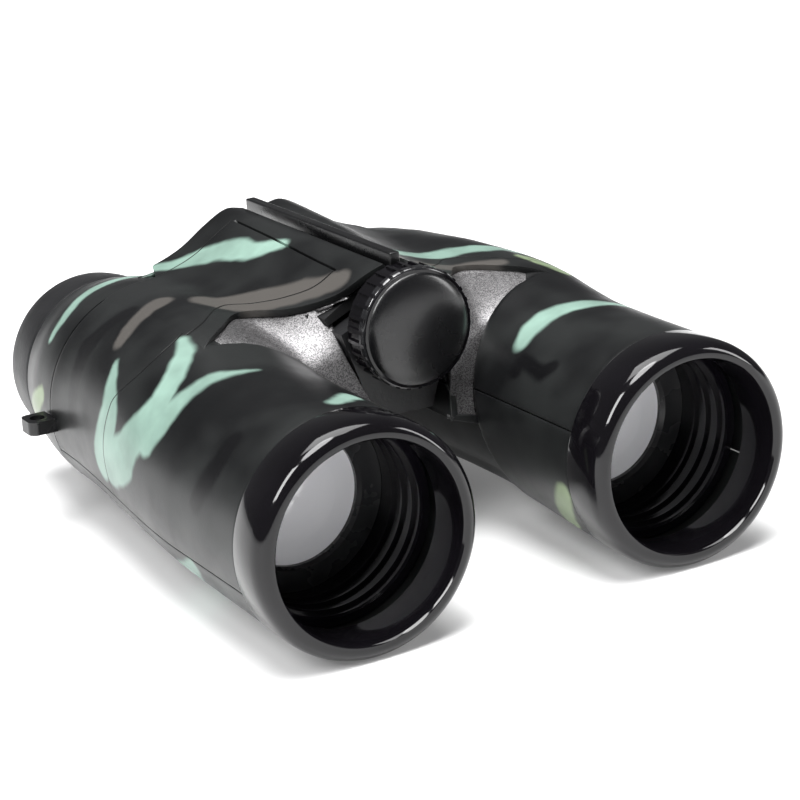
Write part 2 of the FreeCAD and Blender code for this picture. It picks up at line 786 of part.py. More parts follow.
def keep_mirrored(piece, label):
    """Keeps only the mirror image of a right-hand piece, for the left half."""
    mirrored = doc.addObject("Part::Mirroring", label)
    mirrored.Source = piece
    mirrored.Normal = Vector(1, 0, 0)
    mirrored.Base = Vector(0, 0, 0)
    keep(mirrored, label)


keep_pair(objective_ring(), "objective_ring")
keep_pair(lens_tube(), "lens_tube")
keep_pair(lens_retainer(), "lens_retainer")
keep_pair(objective_lens(), "objective_lens")
shells()
keep_pair(front_panel(), "front_panel")
keep_pair(shell_screws(), "shell_screws")
keep_pair(prism(), "prism")
keep_pair(prism_cradle(), "prism_cradle")
keep_pair(ocular_cover(), "ocular_cover")
keep_pair(ocular_tube(), "ocular_tube")
keep_pair(eyecup(), "eyecup")
keep_pair(eye_lens(), "eye_lens")
keep_pair(eye_lens_ring(), "eye_lens_ring")
keep_pair(strap_lug(), "strap_lug")
keep(hinge_arm("right_hinge_arm", right_knuckles), "right_hinge_arm")
keep_mirrored(hinge_arm("left_arm_drawn_right", left_knuckles), "left_hinge_arm")
keep(focus_arm("right_focus_arm", right_eye), "right_focus_arm")
keep_mirrored(focus_arm("left_focus_arm_drawn_right", left_eye), "left_focus_arm")
keep(hinge_pin(), "hinge_pin")
keep(hinge_cover_bar(), "hinge_cover_bar")
keep(centre_housing(), "centre_housing")
keep(centre_cover(), "centre_cover")
keep(wheel_bush(), "wheel_bush")
keep(wheel_rim(), "wheel_rim")
keep(wheel_bezel(), "wheel_bezel")
keep(wheel_cap(), "wheel_cap")
keep(focus_screw(), "focus_screw")
keep(wheel_clip(), "wheel_clip")
keep(focus_carriage(), "focus_carriage")

doc.recompute()
for item in doc.Objects:
    if "Invalid" in item.State or "Error" in item.State:
        raise RuntimeError("%s did not recompute" % item.Label)
for piece in subparts:
    if piece.Shape.isNull() or not piece.Shape.isValid():
        raise RuntimeError("%s has no valid shape" % piece.Label)
os.makedirs("parts", exist_ok=True)
for piece in subparts:
    piece.Shape.exportStep("parts/%s.step" % piece.Label)
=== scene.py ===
import json
import math

import bmesh
import bpy
import numpy as np
from mathutils import Matrix, Vector


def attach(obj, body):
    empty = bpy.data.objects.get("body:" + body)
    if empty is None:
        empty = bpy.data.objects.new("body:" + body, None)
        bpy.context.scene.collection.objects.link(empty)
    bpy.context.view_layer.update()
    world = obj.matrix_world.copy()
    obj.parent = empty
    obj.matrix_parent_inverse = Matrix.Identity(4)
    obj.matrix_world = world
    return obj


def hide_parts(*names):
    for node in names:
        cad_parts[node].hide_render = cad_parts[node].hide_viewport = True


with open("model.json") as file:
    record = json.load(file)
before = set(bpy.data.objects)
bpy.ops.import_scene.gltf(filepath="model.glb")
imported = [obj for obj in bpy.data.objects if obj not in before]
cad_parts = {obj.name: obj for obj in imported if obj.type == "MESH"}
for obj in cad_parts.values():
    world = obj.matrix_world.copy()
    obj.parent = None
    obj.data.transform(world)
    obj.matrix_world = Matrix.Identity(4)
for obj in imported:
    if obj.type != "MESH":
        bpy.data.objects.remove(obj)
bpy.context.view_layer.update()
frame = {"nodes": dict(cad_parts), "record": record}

# Each half is drawn flat, in millimetres: across (out from the barrel axis), along (back from the
# front lip) and up. halfPlace folds the right half into the frame; the left half mirrors it.
millimetre = 0.001
fold = math.radians(19)
halfSpacing = 32.6
axisHeight = 21.0
middleAlong = 63.45
ocularShift = -5.2
halfPlace = (Matrix.Scale(millimetre, 4) @ Matrix.Translation((halfSpacing, -middleAlong, axisHeight))
             @ Matrix.Rotation(fold, 4, "Y"))
centrePlace = Matrix.Scale(millimetre, 4) @ Matrix.Translation((0, -middleAlong, 0))
mirror = Matrix.Scale(-1, 4, (1, 0, 0))
sides = {"right": Matrix.Identity(4), "left": mirror}


def ramp(value, low, high):
    t = min(max((value - low) / (high - low), 0.0), 1.0)
    return t * t * (3 - 2 * t)


def through(table, place):
    # A smooth curve through the table's values, held level past its ends.
    places = sorted(table)
    place = min(max(place, places[0]), places[-1])
    k = max(i for i in range(len(places) - 1) if places[i] <= place)

    def slope(i):
        low, high = places[max(i - 1, 0)], places[min(i + 1, len(places) - 1)]
        return (table[high] - table[low]) / (high - low)

    start, end = places[k], places[k + 1]
    step = end - start
    t = (place - start) / step
    rise = table[start] * (2 * t**3 - 3 * t * t + 1) + table[end] * (3 * t * t - 2 * t**3)
    return rise + step * (slope(k) * (t**3 - 2 * t * t + t) + slope(k + 1) * (t**3 - t * t))


class Flow:
    # A shader socket that can be added to, multiplied and fed on into another node.
    def __init__(self, tree, socket):
        self.tree = tree
        self.socket = socket

    def node(self, kind, settings, sockets, output=0):
        made = self.tree.nodes.new("ShaderNode" + kind)
        for name, value in settings.items():
            setattr(made, name, value)
        for name, value in sockets.items():
            if isinstance(value, Flow):
                self.tree.links.new(value.socket, made.inputs[name])
            else:
                made.inputs[name].default_value = value
        return Flow(self.tree, made.outputs[output])

    def maths(self, operation, *values):
        return self.node("Math", {"operation": operation}, dict(enumerate(values)))

    def __add__(self, other):
        return self.maths("ADD", self, other)

    def __radd__(self, other):
        return self.maths("ADD", other, self)

    def __sub__(self, other):
        return self.maths("SUBTRACT", self, other)

    def __rsub__(self, other):
        return self.maths("SUBTRACT", other, self)

    def __mul__(self, other):
        return self.maths("MULTIPLY", self, other)

    def __rmul__(self, other):
        return self.maths("MULTIPLY", other, self)


def noise(point, scale, detail=3.0):
    return point.node("TexNoise", {}, {"Vector": point, "Scale": scale, "Detail": detail})


def masked(value, low, high):
    return value.node("MapRange", {"interpolation_type": "SMOOTHSTEP"},
                      {"Value": value, "From Min": low, "From Max": high})


def spread(value, low, high):
    return value.node("MapRange", {}, {"Value": value, "From Min": 0.3, "From Max": 0.7,
                                       "To Min": low, "To Max": high})


def mixed(factor, first, second):
    return factor.node("Mix", {"data_type": "RGBA"}, {0: factor, 6: first, 7: second}, 2)


def stored(point, name):
    return point.node("Attribute", {"attribute_name": name}, {}, 2)


def bumped(height, strength, distance):
    return height.node("Bump", {}, {"Height": height, "Strength": strength, "Distance": distance})


def material(name, build, constants):
    made = bpy.data.materials.new(name)
    made.use_nodes = True
    tree = made.node_tree
    shader = tree.nodes["Principled BSDF"]
    point = Flow(tree, tree.nodes.new("ShaderNodeTexCoord").outputs["Object"])
    for socket, value in constants.items():
        shader.inputs[socket].default_value = value
    for socket, flow in build(point).items():
        tree.links.new(flow.socket, shader.inputs[socket])
    return made


def plastic(name, dark, light, rough, grain, depth, constants=None):
    def build(point):
        cloud = noise(point, 90.0)
        fine = noise(point, grain, 2.0)
        return {
            "Base Color": mixed(spread(cloud, 0.0, 1.0), (*dark, 1), (*light, 1)),
            "Roughness": spread(noise(point, 160.0), *rough),
            "Normal": bumped(fine, depth, 0.0002),
        }

    return material(name, build, constants or {})


# Patches of each colour over a dark mottled ground. Later colours lie over earlier ones.
camouflage = {
    "ground": ((0.0050, 0.0052, 0.0056, 1), (0.0150, 0.0160, 0.0160, 1)), "mottle": 60.0,
    "mottleEdge": (0.35, 0.65),
    "colours": {"brown": (0.070, 0.065, 0.060, 1), "deep": (0.0035, 0.0035, 0.004, 1),
                "leaf": (0.24, 0.31, 0.18, 1), "mint": (0.235, 0.355, 0.300, 1)},
    "edge": (-0.7, 0.8), "wobble": 2.6, "wobbleScale": 150.0, "fade": (0.6, 1.0), "fadeScale": 100.0,
    "lineEdge": (0.10, 0.24), "lineColour": (0.004, 0.004, 0.004, 1),
    "grain": 0.12, "grainScale": 2600.0, "relief": (0.35, 0.0002),
    "rough": (0.30, 0.38), "roughScale": 140.0,
}


def camo(point):
    wobble = (noise(point, camouflage["wobbleScale"], 2.0) - 0.5) * camouflage["wobble"]
    soft = masked(noise(point, camouflage["mottle"], 2.0), *camouflage["mottleEdge"])
    shade = mixed(soft, *camouflage["ground"])
    for layer, colour in camouflage["colours"].items():
        mask = masked(stored(point, layer) + wobble, *camouflage["edge"])
        if layer in ("leaf", "mint"):
            mask = mask * spread(noise(point, camouflage["fadeScale"]), *camouflage["fade"])
        shade = mixed(mask, shade, colour)
    seam = stored(point, "seam")
    line = 1 - masked(seam.maths("ABSOLUTE", seam), *camouflage["lineEdge"])
    shade = mixed(line, shade, camouflage["lineColour"])
    grain = noise(point, camouflage["grainScale"], 2.0) * camouflage["grain"] - line
    return {
        "Base Color": shade,
        "Roughness": spread(noise(point, camouflage["roughScale"]), *camouflage["rough"]),
        "Normal": bumped(grain, *camouflage["relief"]),
    }


def sparkle(point):
    flakes = point.node("TexVoronoi", {}, {"Vector": point, "Scale": 7000.0}, 1)
    tone = flakes.node("SeparateColor", {}, {"Color": flakes})
    return {
        "Base Color": mixed(spread(tone, 0.0, 1.0), (0.08, 0.078, 0.08, 1), (0.24, 0.235, 0.238, 1)),
        "Roughness": spread(noise(point, 900.0), 0.36, 0.48),
        "Normal": bumped(tone, 0.16, 0.0001),
    }


# Pale glass, tinted by viewing angle. The emission colour is a mottled painted glow. It shows only where an
# emission strength is set, on the objective lenses, and stands in for the light seen inside them.
def glassAndGlowColour(point):
    facing = point.node("LayerWeight", {}, {"Blend": 0.35}, 1)
    cloud = spread(noise(point, 70.0), 0.0, 1.0)
    return {
        "Base Color": mixed(facing, (0.86, 0.85, 0.88, 1), (0.66, 0.70, 0.72, 1)),
        "Roughness": spread(noise(point, 300.0), 0.03, 0.07),
        "Emission Color": mixed(cloud, (0.75, 0.75, 0.78, 1), (0.9, 0.9, 0.92, 1)),
    }


def turned(point):
    rings = point.node("TexWave", {"wave_type": "BANDS", "bands_direction": "Y"},
                       {"Vector": point, "Scale": 900.0, "Distortion": 0.4})
    return {
        "Base Color": mixed(rings, (0.34, 0.34, 0.35, 1), (0.56, 0.56, 0.58, 1)),
        "Roughness": spread(noise(point, 500.0), 0.22, 0.34),
    }


def brass(point):
    return {
        "Base Color": mixed(noise(point, 400.0), (0.45, 0.31, 0.12, 1), (0.62, 0.45, 0.2, 1)),
        "Roughness": spread(noise(point, 500.0), 0.25, 0.35),
    }


finishes = {
    "black_gloss": plastic("ringGloss", (0.003, 0.0026, 0.0034), (0.0045, 0.004, 0.0052), (0.06, 0.10),
                           700.0, 0.02, {"Specular IOR Level": 0.4}),
    "tube_black": plastic("tubeGloss", (0.004, 0.0035, 0.005), (0.006, 0.005, 0.0075), (0.12, 0.18),
                          900.0, 0.03, {"Specular IOR Level": 0.35}),
    "retainer_grey": plastic("retainerGrey", (0.022, 0.022, 0.024), (0.034, 0.034, 0.036), (0.22, 0.30),
                             1800.0, 0.1),
    # The objective lenses glow faintly: painted light, not a lamp.
    "lens_glass": material("lensGlassPaintedGlow", glassAndGlowColour, {"Coat Weight": 1.0, "Coat Roughness": 0.02,
                                                 "Emission Strength": 0.16}),
    "camo_shell": material("camoShell", camo, {"Specular IOR Level": 0.26}),
    "sparkle_grey": material("sparkleGrey", sparkle, {"Metallic": 0.75}),
    "bright_steel": material("brightSteel", turned, {"Metallic": 1.0}),
    "prism_glass": material("prismGlass", glassAndGlowColour, {"Transmission Weight": 0.6, "IOR": 1.52}),
    "inner_black": plastic("innerBlack", (0.008, 0.008, 0.0085), (0.013, 0.013, 0.014), (0.42, 0.55),
                           1500.0, 0.2),
    "cup_grey": plastic("cupGrey", (0.011, 0.011, 0.012), (0.018, 0.018, 0.019), (0.38, 0.48),
                        2200.0, 0.25, {"Specular IOR Level": 0.3}),
    "black_satin": plastic("blackSatin", (0.004, 0.004, 0.0045), (0.0075, 0.0075, 0.008), (0.24, 0.34),
                           1300.0, 0.12),
    "housing_black": plastic("housingBlack", (0.012, 0.012, 0.013), (0.019, 0.019, 0.020), (0.34, 0.44),
                             1600.0, 0.2),
    "bush_brass": material("bushBrass", brass, {"Metallic": 1.0}),
    "bezel_black": plastic("bezelBlack", (0.010, 0.010, 0.011), (0.018, 0.018, 0.020), (0.12, 0.18),
                           700.0, 0.05, {"Coat Weight": 0.6}),
    "cap_black": plastic("capBlack", (0.0035, 0.0035, 0.004), (0.005, 0.005, 0.0058), (0.24, 0.30),
                         500.0, 0.03, {"Coat Weight": 0.15, "Coat Roughness": 0.12}),
}
# The eye lenses share the glass slot, without the objective lenses' faint glow.
eyeGlass = material("eyeGlass", glassAndGlowColour, {"Coat Weight": 1.0, "Coat Roughness": 0.02,
                                         "Transmission Weight": 0.7})
print("materials", len(finishes))

# Soft camouflage patches. A barrel patch is a path of (turn in degrees, along, radius) and a bridge
# patch one of (across, along, radius).
patches = {
    "left": {
        "mint": {
            "barrel": [
                [(55, 103, 0.7), (67, 103, 1.5), (81, 105, 2.2), (95, 105, 1.8), (112, 104, 1.4)],
                [(15, 67, 3.6), (28, 64, 4.4), (38, 63, 4.2), (45, 64, 3.0), (55, 66, 1.8), (61, 68, 0.9)],
                [(17, 62, 4.6), (28, 54, 4.6), (46, 49, 3.8), (62, 47, 3.0), (75, 48, 2.4), (88, 52, 1.9),
                 (92, 56, 1.0)],
                [(44, 46, 2.8), (58, 43, 2.6), (75, 42, 2.0), (87, 41, 1.5), (98, 39, 1.0), (108, 37, 0.5)],
                [(114, 13, 1.5), (128, 17, 1.9)],
                [(-6, 30, 2.0), (-26, 38, 4.0), (-54, 47, 3.0), (-78, 52, 1.2)],
            ],
            "bridge": [
                [(-14, 103, 1.3), (-19, 97, 2.0), (-24, 93, 2.8), (-28, 88, 3.0), (-30, 81, 2.4),
                 (-34, 75, 1.4)],
            ],
        },
        "leaf": {
            "barrel": [
                [(26, 100, 1.4), (16, 107, 2.4), (6, 112, 1.4)],
                [(-169, 30, 2.0), (-148, 22, 3.0)],
            ],
        },
        "deep": {
            "barrel": [
                [(68, 20, 1.6), (52, 21, 2.6), (34, 24, 2.2)],
                [(26, 82, 2.4), (58, 84, 3.0), (84, 80, 2.0)],
                [(-33, 70, 3.0), (-64, 78, 3.4)],
            ],
        },
        "brown": {
            "barrel": [[(71, 72, 2.0), (100, 76, 2.6)]],
            "bridge": [[(-33, 52, 2.2), (-27, 58, 4.0), (-21, 64, 4.2), (-14, 72, 2.6)]],
        },
    },
    "right": {
        "mint": {
            "barrel": [
                [(149, 34, 2.1), (140, 35, 2.5), (130, 35, 2.4), (116, 34, 2.1), (101, 32, 1.7),
                 (84, 31, 1.0)],
                [(8, 62, 2.5), (28, 72, 4.2), (57, 80, 3.0), (78, 84, 1.5)],
                [(-20, 34, 2.0), (-45, 42, 3.6), (-73, 46, 2.4)],
            ],
            "bridge": [
                [(-38, 57, 1.4), (-33, 64, 1.8), (-24, 71, 2.2), (-18, 71, 2.4), (-10, 68, 2.4),
                 (0, 64, 1.8)],
            ],
        },
        "leaf": {
            "barrel": [
                [(97, 60, 1.6), (92, 57, 2.0), (84, 53, 1.7)],
                [(-145, 12, 2.2), (-129, 15, 3.0), (-114, 18, 1.6)],
                [(25, 38, 2.0), (44, 44, 3.0)],
            ],
        },
        "deep": {
            "barrel": [
                [(164, 31, 2.0), (157, 31, 1.8), (159, 24, 2.0), (154, 22, 1.4)],
                [(37, 54, 3.0), (64, 60, 2.0)],
                [(-47, 62, 3.6), (-74, 70, 2.6)],
            ],
        },
        "brown": {
            "barrel": [[(19, 84, 3.0), (52, 92, 2.0)]],
            "bridge": [[(-39, 50, 1.6), (-24, 62, 2.2), (-15, 61, 2.2), (-10, 58, 1.6)]],
        },
    },
}
farFromPatch = -20.0
farFromLine = 9.0


def onBarrel(turn, along):
    turn = math.radians(turn)
    return barrelPoint(turn, along) if along < barrel["back"] else coverPoint(turn, along)


def onBridge(across, along):
    return Vector((across, along, deckTop(across, along)))


def paint(mesh, side):
    # Signed distance, in millimetres, to the nearest patch of each colour. Positive is inside.
    count = len(mesh.vertices)
    flat = np.zeros(count * 3, np.float32)
    mesh.vertices.foreach_get("co", flat)
    points = flat.reshape(-1, 3)
    for layer, kinds in patches[side].items():
        nearest = np.full(count, farFromPatch)
        for kind, paths in kinds.items():
            put = onBarrel if kind == "barrel" else onBridge
            for path in paths:
                spots = [(np.array(put(first, along)), radius) for first, along, radius in path]
                for (start, startRadius), (end, endRadius) in zip(spots, spots[1:]):
                    run = end - start
                    t = np.clip((points - start) @ run / (run @ run), 0, 1)
                    gap = np.linalg.norm(points - start - t[:, None] * run, axis=1)
                    nearest = np.maximum(nearest, startRadius + t * (endRadius - startRadius) - gap)
        values = mesh.attributes.new(layer, "FLOAT", "POINT")
        values.data.foreach_set("value", nearest.astype(np.float32))


def drawLine(mesh, rule):
    # Stores how far each point is from the panel line, which is drawn where the value is near 0.
    values = [rule(*vertex.co) if rule else farFromLine for vertex in mesh.vertices]
    mesh.attributes.new("seam", "FLOAT", "POINT").data.foreach_set("value", values)


def sheet(columns, rows, shape):
    # A grid of cells laid on the surface that shape(across, along) gives; both run from 0 to 1.
    mesh = bmesh.new()
    bmesh.ops.create_grid(mesh, x_segments=columns, y_segments=rows, size=0.5)
    for vertex in mesh.verts:
        vertex.co = shape(vertex.co.x + 0.5, vertex.co.y + 0.5)
    return mesh


def spun(profile, axis=(0, 0), closed=True, steps=144):
    # Turns a profile of (radius, along) about the line at axis (across, up).
    mesh = bmesh.new()
    points = [mesh.verts.new((axis[0] + radius, along, axis[1])) for radius, along in profile]
    pairs = list(zip(points, points[1:]))
    if closed:
        pairs.append((points[-1], points[0]))
    edges = [mesh.edges.new(pair) for pair in pairs]
    bmesh.ops.spin(mesh, geom=points + edges, cent=(axis[0], 0, axis[1]), axis=(0, 1, 0),
                   angle=2 * math.pi, steps=steps, use_merge=True)
    bmesh.ops.remove_doubles(mesh, verts=mesh.verts[:], dist=0.0005)
    bmesh.ops.recalc_face_normals(mesh, faces=mesh.faces[:])
    return mesh


def shaded(mesh, sharp=0.6):
    # Smooth faces, with creases where they meet at more than the sharp angle.
    for face in mesh.faces:
        face.smooth = True
    for edge in mesh.edges:
        if len(edge.link_faces) == 2 and edge.calc_face_angle(0) > sharp:
            edge.smooth = False


def toMesh(name, source):
    mesh = bpy.data.meshes.new(name)
    source.to_mesh(mesh)
    source.free()
    return mesh


def addPiece(name, mesh, body, slot, nodes):
    item = bpy.data.objects.new(name, mesh)
    bpy.context.scene.collection.objects.link(item)
    mesh.materials.append(finishes[slot])
    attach(item, body)
    if nodes:
        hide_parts(*nodes)
    return item


def addHalves(name, source, group, slot, nodes, thickness=0.0, rounding=0.0, line=None):
    # Puts the flat piece on both halves; group is the kind of body it rides on.
    shaded(source)
    for side, turn in sides.items():
        copy = source.copy()
        if side == "left":
            bmesh.ops.reverse_faces(copy, faces=copy.faces[:])
        mesh = toMesh(side + name, copy)
        if slot == "camo_shell":
            paint(mesh, side)
            drawLine(mesh, line)
        mesh.transform(turn @ halfPlace)
        item = addPiece(side + name, mesh, f"{side}_{group}", slot, [f"{side}_{node}" for node in nodes])
        if thickness:
            shell = item.modifiers.new("Thickness", "SOLIDIFY")
            shell.thickness = thickness * millimetre
            shell.offset = -1
        if rounding:
            edge = item.modifiers.new("Rounding", "BEVEL")
            edge.width = rounding * millimetre
            edge.segments = 2
            edge.limit_method = "ANGLE"
            edge.angle_limit = 1.0
    source.free()


def addCentre(name, source, body, slot, nodes):
    shaded(source)
    mesh = toMesh(name, source)
    mesh.transform(centrePlace)
    addPiece(name, mesh, body, slot, nodes)


# The barrels drift inwards from the objective axis to the ocular axis, with a hump over the prism.
barrel = {
    "front": 9.3, "back": 94.45, "wall": 1.5, "parting": 0.14, "radius": 20.8, "growth": 1.4,
    "driftFrom": 34, "driftTo": 94.5, "sink": 1.7, "sinkFrom": 97, "sinkTo": 113, "sinkRun": 2, "edge": 0.3,
    "heights": {9.3: 20.85, 15: 20.85, 22: 20.85, 28: 20.9, 34: 21.0, 40: 21.3, 48: 22.4, 55: 23.6,
                62: 24.15, 70: 24.1, 78: 23.75, 86: 23.0, 94.5: 22.2},
    "depths": {9.3: 20.8, 15: 20.4, 22: 19.9, 28: 19.4, 34: 19.0, 40: 18.6, 48: 18.1, 55: 17.85, 62: 17.7,
               70: 17.7, 78: 17.8, 86: 17.85, 94.5: 17.9},
}
cover = {
    "front": 94.9, "back": 114.4, "bore": 17.1, "edge": 0.25,
    "radii": {94.9: 22.15, 100: 21.7, 106.5: 20.7, 112: 19.4, 114.4: 18.9},
    "depths": {94.9: 17.85, 100: 17.9, 106.5: 18.0, 112: 18.4, 114.4: 18.8},
}
frontPlane = {"along": 41, "lean": 0.4}


def panelFront(up):
    return frontPlane["along"] + frontPlane["lean"] * up


def drift(along):
    return ramp(along, barrel["driftFrom"], barrel["driftTo"])


def barrelPoint(turn, along, inset=0.0):
    ease = drift(along)
    radius = barrel["radius"] + barrel["growth"] * ease - inset
    table = barrel["heights"] if math.sin(turn) > 0 else barrel["depths"]
    return Vector((ocularShift * ease + radius * math.cos(turn), along,
                   (through(table, along) - inset) * math.sin(turn)))


def coverPoint(turn, along):
    across = through(cover["radii"], along)
    up = across if math.sin(turn) > 0 else through(cover["depths"], along)
    return Vector((ocularShift + across * math.cos(turn), along, up * math.sin(turn)))


def barrelSkin(first, last):
    def shape(across, along):
        turn = math.radians(first + (last - first) * across)
        point = barrelPoint(turn, barrel["front"] + (barrel["back"] - barrel["front"]) * along)
        # Behind the front panel the inner side steps in, out of the way of the bridge wall.
        front = panelFront(point.z)
        inner = ramp(abs(math.degrees(turn)), barrel["sinkFrom"], barrel["sinkTo"])
        inner *= ramp(point.y, front, front + barrel["sinkRun"])
        return barrelPoint(turn, point.y, barrel["sink"] * inner)

    return shape


# The line round the barrel runs level at the side and comes forward over the top.
ring = {
    "along": 64.6, "side": 2.2, "sideUp": (8, 22), "sideAcross": (-9, 12),
    "top": 7, "topUp": (17, 24), "topAcross": (-14, 0),
}


def ringLine(across, along, up):
    side = ring["side"] * ramp(up, *ring["sideUp"]) * ramp(across, *ring["sideAcross"])
    top = ring["top"] * ramp(up, *ring["topUp"]) * ramp(across, *ring["topAcross"])
    return along - (ring["along"] - side - top)


# The bridge: heights above the barrel axis at stations along it, and the curved lip at its front.
deck = {
    "across": (-39.3, -36.0, -30.5, -24.0, -17.0, -10.0, -4.0, 4.0),
    "stations": {
        38.0: (20.9, 20.0, 18.4, 17.8, 18.2, 18.2, 17.4, 14),
        60.0: (21.0, 21.0, 19.6, 18.8, 19.0, 18.6, 17.6, 14),
        80.0: (21.2, 22.2, 21.2, 19.9, 19.6, 18.9, 17.8, 14),
        101.5: (21.4, 23.0, 22.3, 20.6, 19.9, 19.2, 18.0, 14),
    },
    "lip": {-39.3: 45.5, -35: 47, -30: 49, -26: 52, -22: 56, -16.5: 62.5, -10: 56, -5: 51.5, -2: 49, 2: 44},
    "line": {-34: 55.5, -29: 56.5, -25: 59.5, -20: 64, -16: 67.5, -8: 59, -4: 57, 5: 57},
    "lineAcross": -34.3, "lineBack": 95.2, "lineSlant": 0.75,
    "thickness": 1.4, "edge": 0.35, "columnStep": 0.7, "columns": 60, "rows": 84,
    "blend": 2, "dive": 0.75, "diveFrom": -6, "diveTo": 2,
    "back": 101.5, "notch": 6.9, "notchFrom": -17.5, "notchTo": -14.5,
    "groove": -34.2, "grooveFront": 55.6, "grooveBack": 94.0, "grooveDepth": 0.8, "grooveReach": 0.22,
    "grooveFade": 0.3, "grooveColumns": (-0.42, -0.24, -0.2, 0.2, 0.24, 0.42),
}


def deckHeight(across, along):
    row = {}
    for i, place in enumerate(deck["across"]):
        row[place] = through({station: heights[i] for station, heights in deck["stations"].items()}, along)
    return through(row, across)


def deckTop(across, along):
    # The bridge flows over the barrel, and dives under its skin on the outer side.
    height = deckHeight(across, along)
    ease = drift(along)
    radius = barrel["radius"] + barrel["growth"] * ease
    off = (across - ocularShift * ease) / radius
    arch = through(barrel["heights"], along) * math.sqrt(max(0.0, 1 - off * off))
    top = (height + arch + math.sqrt((height - arch) ** 2 + deck["blend"] ** 2)) / 2
    return top - deck["dive"] * ramp(across, deck["diveFrom"], deck["diveTo"])


deckColumns = [deck["across"][0] + deck["columnStep"] * i for i in range(deck["columns"])]
deckColumns = sorted(deckColumns + [deck["groove"] + step for step in deck["grooveColumns"]])


def grooveDepth(along):
    fade = deck["grooveFade"]
    start = ramp(along, deck["grooveFront"] - fade, deck["grooveFront"] + fade)
    end = ramp(along, deck["grooveBack"] - fade, deck["grooveBack"] + fade)
    return deck["grooveDepth"] * start * (1 - end)


def deckShape(across, along):
    place = deckColumns[round(across * (len(deckColumns) - 1))]
    front = through(deck["lip"], place)
    back = deck["back"] - deck["notch"] * ramp(place, deck["notchFrom"], deck["notchTo"])
    y = front + (back - front) * along
    height = deckTop(place, y)
    if abs(place - deck["groove"]) < deck["grooveReach"]:
        height -= grooveDepth(y)
    return Vector((place, y, height))


def deckLine(across, along, up):
    if across < deck["lineAcross"]:
        return farFromLine
    nearBack = along - deck["lineBack"]
    nearFront = (along - through(deck["line"], across)) * deck["lineSlant"]
    return nearFront if abs(nearFront) < abs(nearBack) else nearBack


partingTurn = math.degrees(barrel["parting"] / barrel["radius"])
upperSkin = sheet(96, 130, barrelSkin(180 - partingTurn, partingTurn))
lowerSkin = sheet(96, 110, barrelSkin(-partingTurn, -180 + partingTurn))
addHalves("BarrelTop", upperSkin, "half", "camo_shell", ["upper_shell"], barrel["wall"], barrel["edge"],
          ringLine)
addHalves("BarrelUnder", lowerSkin, "half", "camo_shell", ["lower_shell"], barrel["wall"], barrel["edge"])
print("barrels")

deckSheet = sheet(len(deckColumns) - 1, deck["rows"], deckShape)
addHalves("Bridge", deckSheet, "half", "camo_shell", [], deck["thickness"], deck["edge"], deckLine)
print("bridge")

# The bridge wall beside the hinge and the floor under it, parted along the middle.
wall = {
    "across": -25.9, "floor": -6.0, "reach": -17.5, "height": 16.6, "back": 94.45, "deckBack": 101.4,
    "coverTop": 9, "gap": 0.3, "setBack": 5.0, "setBackFrom": -4, "setBackTo": 6, "round": 0.5,
    "roundFade": 1.4, "thickness": 1.4, "edge": 0.3,
}


def wallShape(low, high):
    # Runs below 0 cross the floor; above 0 they climb the wall.
    def shape(across, along):
        run = low + (high - low) * across
        if run < 0:
            place = wall["across"] + (wall["reach"] - wall["across"]) * min(-run, 1)
            up = wall["floor"]
        else:
            place = wall["across"] + wall["round"] * math.exp(-run * wall["roundFade"])
            up = wall["floor"] + run
        behind = wall["setBack"] * ramp(up, wall["setBackFrom"], wall["setBackTo"])
        front = panelFront(up) + behind + wall["gap"]
        back = wall["deckBack"] if up > wall["coverTop"] else wall["back"]
        return Vector((place, front + (back - front) * along, up))

    return shape


middle = -wall["floor"]
lowWall = sheet(14, 40, wallShape(-1, middle - barrel["parting"]))
addHalves("WallUnder", lowWall, "half", "camo_shell", [], wall["thickness"], wall["edge"])
highWall = sheet(24, 40, wallShape(middle + barrel["parting"], middle + wall["height"]))
addHalves("WallTop", highWall, "half", "camo_shell", [], wall["thickness"], wall["edge"])

rear = {
    "run": 12.5, "along": 101.2, "radius": 21.6, "height": 21.4, "flattest": 0.05, "probe": 100, "drop": 1.2,
    "thickness": 1.2,
}


def rearShape(across, along):
    # From under the bridge down to the top of the ocular cover.
    place = wall["across"] + rear["run"] * across
    off = (place - ocularShift) / rear["radius"]
    low = rear["height"] * math.sqrt(max(rear["flattest"], 1 - off * off))
    high = deckTop(place, rear["probe"]) - rear["drop"]
    return Vector((place, rear["along"], low + (high - low) * (1 - along)))


addHalves("WallRear", sheet(12, 10, rearShape), "half", "camo_shell", [], rear["thickness"])
print("walls")

# The textured panel beside the wheel, stretched between the wall, the barrel and the bridge's lip.
panel = {
    "wall": -25.7, "floor": -5.8, "bend": 7.0, "tip": -32.0, "set": 0.9, "inset": 0.9, "drop": 1.5,
    "reach": 9.0, "lipGap": 0.7, "lipSet": 0.8, "lowTurn": 198, "topTurn": 94, "probe": 46, "thickness": 1.0,
    "cells": 40,
}


def panelUnder(across):
    return deckTop(across, through(deck["lip"], across) + panel["lipGap"]) - panel["drop"]


def panelLeft(t):
    # Up the bridge wall, then out under the flap to its tip.
    if t < 0.5:
        return Vector((panel["wall"], panel["floor"] + (panel["bend"] - panel["floor"]) * t / 0.5))
    bend = (t - 0.5) / 0.5 * math.pi / 2
    across = panel["wall"] + (panel["tip"] - panel["wall"]) * (1 - math.cos(bend))
    up = panel["bend"] + (panelUnder(panel["tip"]) - panel["bend"]) * math.sin(bend)
    return Vector((across, up))


def panelRight(t):
    turn = math.radians(panel["lowTurn"] + (panel["topTurn"] - panel["lowTurn"]) * t)
    point = barrelPoint(turn, panel["probe"], panel["inset"])
    return Vector((point.x, point.z))


def panelTop(t):
    start, end = panelLeft(1).x, panelRight(1).x
    across = start + (end - start) * t
    return Vector((across, panelUnder(across)))


